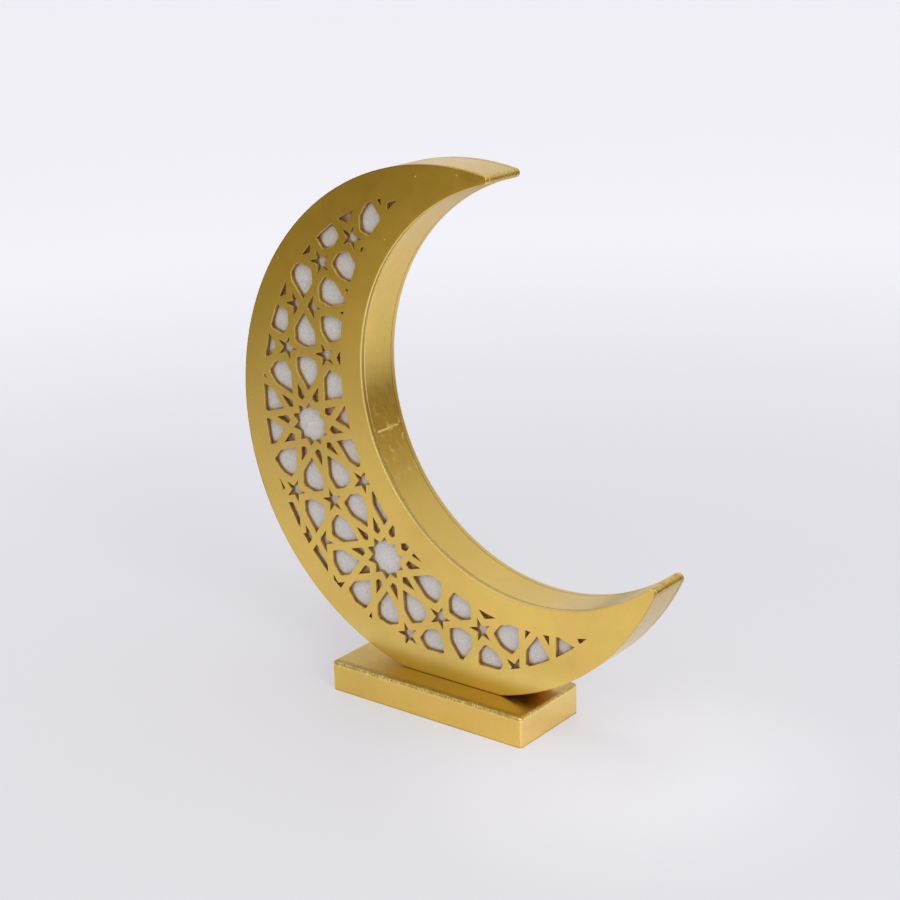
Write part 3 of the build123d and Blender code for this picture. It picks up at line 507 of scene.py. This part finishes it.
for name, material in {
    "front_panel": gold_p, "back_panel": gold_r, "edge_band": gold_b, "base_block": gold_s,
    "diffuser_sheet": opal_m, "spacer_dowels": wood_m, "mounting_block": wood_m,
    "battery_case": dark_m, "battery_cover": dark_m, "switch_body": dark_m, "switch_knob": switch_m,
    "contact_springs": steel_m, "contact_plates": steel_m, "base_screws": screw_m, "back_screws": screw_m,
    "led_strip": film_m, "led_chips": chip_m, "lead_wires": wire_m,
    "aa_cell_1": cell_m, "aa_cell_2": cell_m, "aa_cell_3": cell_m,
}.items():
    dress(name, material)


# ---------------------------------------------------------------- pieces shaped here
def piece_of(name, mesh, material, body="lantern", sharp=40):
    """Makes a mesh into a piece that rides on a body, smooth up to an angle."""
    mesh.shade_smooth()
    mesh.set_sharp_from_angle(angle=math.radians(sharp))
    mesh.materials.clear()
    mesh.materials.append(material)
    piece = bpy.data.objects.new(name, mesh)
    bpy.context.scene.collection.objects.link(piece)
    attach(piece, body)
    return piece


def moulded(name, points, faces, material, body="lantern", sharp=40):
    """A piece from points in millimetres."""
    mesh = bpy.data.meshes.new(name)
    mesh.from_pydata([tuple(c * MM for c in point) for point in points], [], faces)
    return piece_of(name, mesh, material, body, sharp)


def softened(node, name, material, body, width, choose, segments=2, corners=None):
    """A CAD node's own solid with chosen sharp edges rounded over, and first the inner corners that corners gives."""
    shape = bmesh.new()
    shape.from_mesh(nodes[node].data)
    bmesh.ops.remove_doubles(shape, verts=shape.verts[:], dist=0.001 * MM)
    bmesh.ops.dissolve_limit(
        shape, angle_limit=math.radians(0.5), use_dissolve_boundaries=False,
        verts=shape.verts[:], edges=shape.edges[:], delimit=set(),
    )
    if corners:
        edges = [e for e in shape.edges if corners(e)]
        bmesh.ops.bevel(
            shape, geom=edges, offset=1.5 * MM, offset_type="OFFSET", segments=3, profile=0.5,
            affect="EDGES", clamp_overlap=False,
        )
    edges = [e for e in shape.edges if e.calc_face_angle(0) > math.radians(55) and choose(*[v.co / MM for v in e.verts])]
    bmesh.ops.bevel(
        shape, geom=edges, offset=width * MM, offset_type="OFFSET", segments=segments, profile=0.5,
        affect="EDGES", clamp_overlap=False,
    )
    bmesh.ops.triangulate(shape, faces=shape.faces[:])
    mesh = bpy.data.meshes.new(name)
    shape.to_mesh(mesh)
    shape.free()
    piece = piece_of(name, mesh, material, body, 50)
    steady = piece.modifiers.new("steady_normals", "WEIGHTED_NORMAL")
    steady.keep_sharp = True
    steady.weight = 100
    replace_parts(piece, node)
    return piece


def islands(node):
    """The separate solids of a CAD node, each as its lowest and highest corner in millimetres."""
    shape = bmesh.new()
    shape.from_mesh(nodes[node].data)
    bmesh.ops.remove_doubles(shape, verts=shape.verts[:], dist=0.001 * MM)
    left, found = set(shape.verts), []
    while left:
        edge_of_group, group = [left.pop()], []
        while edge_of_group:
            vertex = edge_of_group.pop()
            group.append(vertex.co / MM)
            for edge in vertex.link_edges:
                other = edge.other_vert(vertex)
                if other in left:
                    left.remove(other)
                    edge_of_group.append(other)
        found.append(tuple(Vector([pick(c) for c in zip(*group)]) for pick in (min, max)))
    shape.free()
    return sorted(found, key=lambda pair: tuple(pair[0]))


def lathe(profile, sides, place, dent=None):
    """Points and faces of a turned form. place(x, y, height) gives a point's place; dent lowers its top."""
    points, faces, rings = [], [], []
    for radius, height in profile:
        ring = []
        for k in range(1 if radius == 0 else sides):
            turn = 2 * math.pi * k / sides
            x, y = radius * math.cos(turn), radius * math.sin(turn)
            drop = dent(x, y, height) if dent else 0.0
            ring.append(len(points))
            points.append(place(x, y, height - drop))
        rings.append(ring)
    for low, high in zip(rings, rings[1:]):
        for k in range(sides):
            a, b = low[k % len(low)], low[(k + 1) % len(low)]
            c, d = high[(k + 1) % len(high)], high[k % len(high)]
            face = [v for n, v in enumerate((a, b, c, d)) if v not in (a, b, c, d)[:n]]
            faces.append(face)
    return points, faces


def joined(parts):
    """Several forms' points and faces as one."""
    points, faces = [], []
    for more_points, more_faces in parts:
        faces += [[v + len(points) for v in face] for face in more_faces]
        points += more_points
    return points, faces


def ramp(value, low, high):
    t = min(1.0, max(0.0, (value - low) / (high - low)))
    return t * t * (3 - 2 * t)


def cross_recess(reach, half_width, depth, top):
    """The depth of a cross-shaped driver recess at a point of a screw's head."""
    def dent(x, y, height):
        if height < top:
            return 0.0
        across, along = sorted((abs(x), abs(y)))
        arm = ramp(across, half_width * 1.35, half_width * 0.75) * ramp(along, reach * 1.08, reach * 0.9)
        return depth * arm * (1 - 0.35 * along / reach)
    return dent


def screw(radius, length, head, top, place, recess):
    """A screw from its tip at height 0 up through a ridged shank to its head's profile."""
    pitch = radius * 0.7
    profile = [(0, 0), (radius * 0.25, 0.1)]
    count = int((length * 0.62) / pitch)
    for k in range(count):
        grown = min(1.0, (k + 1) / 3)
        profile += [(radius * 0.78 * grown, 0.3 + k * pitch), (radius * grown, 0.3 + (k + 0.5) * pitch)]
    profile += [(radius * 0.8, 0.4 + count * pitch), (radius * 0.96, 0.4 + (count + 0.7) * pitch)]
    profile += head
    outer = head[-1][0]
    for share in (0.93, 0.84, 0.75, 0.66, 0.58, 0.51, 0.45, 0.39, 0.33, 0.27, 0.21, 0.15, 0.08, 0):
        profile.append((outer * share, head[-1][1] + top(share)))
    return lathe(profile, 56, place, recess)


def back_screw(low, high):
    x, z = (low.x + high.x) / 2, (low.z + high.z) / 2
    tip = low.y
    seat, crown = BACK - tip, high.y - tip
    head = [(1.25, seat - 0.02), (2.36, seat), (2.49, seat + 0.12), (2.5, seat + 0.32), (2.4, seat + 0.52), (2.24, seat + 0.66)]
    rise = crown - seat - 0.66
    recess = cross_recess(1.35, 0.27, 0.75, seat + 0.67)
    return screw(1.3, seat, head, lambda share: rise * (1 - share**2), lambda a, b, h: (x + b, tip + h, z + a), recess)


def base_screw(low, high):
    x, y = (low.x + high.x) / 2, (low.y + high.y) / 2
    length = high.z - low.z
    head = [(1.9, length - 2.2), (2.0, length - 2.0), (3.86, length - 0.14), (3.98, length - 0.05), (3.9, length)]
    recess = cross_recess(2.2, 0.42, 1.2, length - 0.001)
    return screw(2.0, length - 2, head, lambda share: 0.0, lambda a, b, h: (x + a, y - b, high.z - h), recess)


def aa_cell(low, high, nub_up):
    x, y = (low.x + high.x) / 2, (low.y + high.y) / 2
    way = 1 if nub_up else -1
    foot = low.z if nub_up else high.z
    profile = [
        (0, 0.2), (4.4, 0.2), (4.8, 0.05), (5.4, 0), (6.5, 0.05), (7.0, 0.3), (7.15, 0.7), (7.2, 1.1), (7.2, 12), (7.2, 30),
        (7.2, 47.9), (7.13, 48.5), (6.9, 48.9), (6.5, 49.1), (6.1, 48.95), (5.8, 48.7), (3.6, 48.72), (3.2, 48.9),
        (2.75, 49.2), (2.68, 49.9), (2.55, 50.3), (2.2, 50.48), (0, 50.5),
    ]
    return lathe(profile, 64, lambda a, b, h: (x + a, y + way * b, foot + way * h))


def screws(node, name, maker):
    points, faces = joined([maker(*box) for box in islands(node)])
    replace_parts(moulded(name, points, faces, screw_m), node)


screws("back_screws", "pan_head_screws", back_screw)
screws("base_screws", "countersunk_screws", base_screw)
for index in (1, 2, 3):
    low, high = islands(f"aa_cell_{index}")[0]
    points, faces = aa_cell(low, high, index != 2)
    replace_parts(moulded(f"aa_cell_sleeved_{index}", points, faces, cell_m), f"aa_cell_{index}")



def blunt_corner(edge):
    """An upright inner corner of an opening that is wide enough to be cut round."""
    low, high = (v.co / MM for v in edge.verts)
    if abs(low.y - high.y) < 2.9 or edge.is_convex or len(edge.link_faces) != 2:
        return False
    turn = math.degrees(edge.calc_face_angle(0))
    spans = [max((v.co - edge.verts[0].co).xz.length for v in f.verts) / MM for f in edge.link_faces]
    return 20 < turn < 100 and min(spans) > 3.4 and (Vector((low.x, low.z)) - CENTRE).length < 133


softened(
    "front_panel", "pierced_front_panel", gold_p, "lantern", 0.16,
    lambda a, b: abs(a.y - PANEL_FACE) < 0.01 and abs(b.y - PANEL_FACE) < 0.01, corners=blunt_corner,
)
CASE_REAR = BACK + 1.2
at_rear = lambda a, b: abs(a.y - CASE_REAR) < 0.01 and abs(b.y - CASE_REAR) < 0.01
softened("battery_case", "battery_case_moulding", dark_m, "lantern", 0.22, at_rear)
softened("battery_cover", "battery_cover_moulding", dark_m, "battery_cover", 0.2, at_rear)
softened(
    "switch_knob", "switch_slider", switch_m, "switch_knob", 0.18,
    lambda a, b: a.y > CASE_REAR and b.y > CASE_REAR - 0.4,
)


def seam_bead():
    """The filler smeared over the band's seam in the mouth, uneven along its length."""
    turn = math.radians(198)
    out = Vector((-math.cos(turn), 0, -math.sin(turn)))
    along = Vector((-math.sin(turn), 0, math.cos(turn)))
    points, faces = [], []
    steps, round_steps = 44, 9
    for i in range(steps + 1):
        t = i / steps
        y = FRONT + 5.3 + 19.5 * t
        wobble = 0.12 * math.sin(9 * t + 1) + 0.08 * math.sin(23 * t) + 0.05 * math.sin(47 * t + 2)
        half = (0.56 if t < 0.62 else 0.4) * (1 + wobble) * min(1.0, 0.35 + 9 * min(t, 1 - t))
        shift = 0.14 * math.sin(6 * t) + 0.06 * math.sin(19 * t + 1)
        for k in range(round_steps + 1):
            a = math.pi * k / round_steps
            place = SEAM + along * (half * math.cos(a) + shift) + out * (half * 0.42 * math.sin(a) - 0.03)
            points.append((place.x, y, place.z))
    row = round_steps + 1
    for i in range(steps):
        for k in range(row):
            n = (k + 1) % row
            faces.append([i * row + k, (i + 1) * row + k, (i + 1) * row + n, i * row + n])
    faces.append(list(range(row)))
    faces.append(list(range(steps * row, (steps + 1) * row))[::-1])
    return moulded("seam_bead", points, faces, bead_m, sharp=60)


bead_m = plain("gold_filler", srgb(236, 200, 132), 0.36, 0.45, size=0.9, depth=0.06, sway=0.10)
seam_bead()


# ---------------------------------------------------------------- room
PALE = srgb(232, 232, 239)
DIM = (0.20, 0.15, 0.025)
HORIZON = (0.31, 0.245, 0.08)
BACKDROP = (0.77, 0.77, 0.84)
OVERHEAD = (0.76, 0.76, 0.77)
BEHIND = (math.cos(math.radians(128)), math.sin(math.radians(128)), 0.0)


def room():
    """A pale floor to the horizon, marked as staging. Away from the object it reflects as a dimmer room, and beside
    the base it is painted brighter.
    """
    reach = 14.0
    mesh = bpy.data.meshes.new("studio_floor")
    corners = [(reach * math.cos(a), reach * math.sin(a), 0.0) for a in np.linspace(0, 2 * math.pi, 65)[:-1]]
    mesh.from_pydata(corners, [], [list(range(64))])
    floor = bpy.data.objects.new("studio_floor", mesh)
    bpy.context.scene.collection.objects.link(floor)
    s = Surface("studio_paper")
    paper = s.blend(s.noise(900, 2), srgb(230, 230, 237), PALE)
    away = s.vector("DISTANCE", s.place, (150, -50, 0))
    far = s.fit(away, 300, 1400)
    seen = s.tree.nodes.new("ShaderNodeLightPath").outputs["Is Camera Ray"]
    # Painted light: reflections see the floor brighter beside the base.
    beside = s.fit(s.vector("DISTANCE", s.place, (110, 10, 0)), 110, 40, 1.08, 1.3)
    bounce = s.blend(far, s.shade(paper, beside), DIM)
    s.finish(s.blend(seen, bounce, s.shade(paper, 0.6)), 0.65)
    s.bsdf.inputs["Specular IOR Level"].default_value = 0.1
    s.put(s.bsdf.inputs["Emission Color"], PALE)
    # Painted light: the camera sees the floor lifted to the right of the base, where its shadow falls.
    glow = s.fit(s.vector("DISTANCE", s.place, (125, -15, 0)), 150, 35, 0.0, 0.1)
    s.put(s.bsdf.inputs["Emission Strength"], s.maths("MULTIPLY", seen, s.maths("ADD", s.fit(away, 300, 1600, 0.36, 0.62), glow)))
    floor.data.materials.append(s.mat)
    floor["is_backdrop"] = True
    return floor


def sky():
    """Soft light from above, a pale backdrop behind the object and a dimmer room round the rest."""
    world = bpy.data.worlds.new("studio")
    bpy.context.scene.world = world
    world.use_nodes = True
    tree = world.node_tree
    background = tree.nodes["Background"]
    coord = tree.nodes.new("ShaderNodeTexCoord")
    axes = tree.nodes.new("ShaderNodeSeparateXYZ")
    tree.links.new(coord.outputs["Generated"], axes.inputs[0])

    def ease(value, low, high):
        n = tree.nodes.new("ShaderNodeMapRange")
        n.interpolation_type = "SMOOTHSTEP"
        tree.links.new(value, n.inputs[0])
        n.inputs[1].default_value, n.inputs[2].default_value = low, high
        return n.outputs[0]

    def mix(share, a, b):
        n = tree.nodes.new("ShaderNodeMix")
        n.data_type = "RGBA"
        tree.links.new(share, n.inputs[0])
        for socket, value in ((n.inputs[6], a), (n.inputs[7], b)):
            if isinstance(value, tuple):
                socket.default_value = (*value, 1)
            else:
                tree.links.new(value, socket)
        return n.outputs[2]

    along = tree.nodes.new("ShaderNodeVectorMath")
    along.operation = "DOT_PRODUCT"
    tree.links.new(coord.outputs["Generated"], along.inputs[0])
    along.inputs[1].default_value = BEHIND
    low = mix(ease(along.outputs["Value"], 0.3, 0.85), HORIZON, BACKDROP)
    glow = mix(ease(axes.outputs[2], 0.1, 0.75), low, OVERHEAD)
    path = tree.nodes.new("ShaderNodeLightPath")
    tree.links.new(mix(path.outputs["Is Camera Ray"], glow, PALE), background.inputs[0])


def area(name, place, aim, size, power, colour=(1, 1, 1)):
    light = bpy.data.lights.new(name, "AREA")
    light.shape = "RECTANGLE"
    light.size, light.size_y = size
    light.energy = power
    light.color = colour
    lamp = bpy.data.objects.new(name, light)
    lamp.location = place
    lamp.rotation_mode = "QUATERNION"
    lamp.rotation_quaternion = (Vector(aim) - Vector(place)).to_track_quat("-Z", "Y")
    bpy.context.scene.collection.objects.link(lamp)
    return lamp


room()
sky()
area("softbox_overhead", (0.0, -0.1, 1.8), (0.05, 0.0, 0.0), (1.2, 1.2), 4)
area("softbox_right", (2.0, -0.9, 1.15), (0.05, 0, 0.05), (0.9, 0.9), 14)
area("softbox_front", (0.9, -1.7, 2.3), (0, 0, 0.15), (0.9, 0.9), 7)

# ---------------------------------------------------------------- camera, at the photograph's angle
azimuth, elevation, roll = math.radians(38.4853), math.radians(17.7603), math.radians(-1.8800)
back = Vector((math.sin(azimuth) * math.cos(elevation), -math.cos(azimuth) * math.cos(elevation), math.sin(elevation)))
side = Vector((math.cos(azimuth), math.sin(azimuth), 0.0))
up = back.cross(side)
right = side * math.cos(roll) + up * math.sin(roll)
upward = up * math.cos(roll) - side * math.sin(roll)
target = Vector((11.6216, -10.17, 157.9086)) * MM
data = bpy.data.cameras.new("camera")
data.sensor_width = 36.0
data.lens = 1817.7665 / 900 * 36.0
data.clip_start, data.clip_end = 0.01, 100
camera = bpy.data.objects.new("camera", data)
camera.matrix_world = Matrix.Translation(target + back * 0.9976873) @ Matrix((right, upward, back)).transposed().to_4x4()
bpy.context.scene.collection.objects.link(camera)
bpy.context.scene.camera = camera

bpy.context.scene.view_settings.view_transform = "Standard"

low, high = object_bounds()
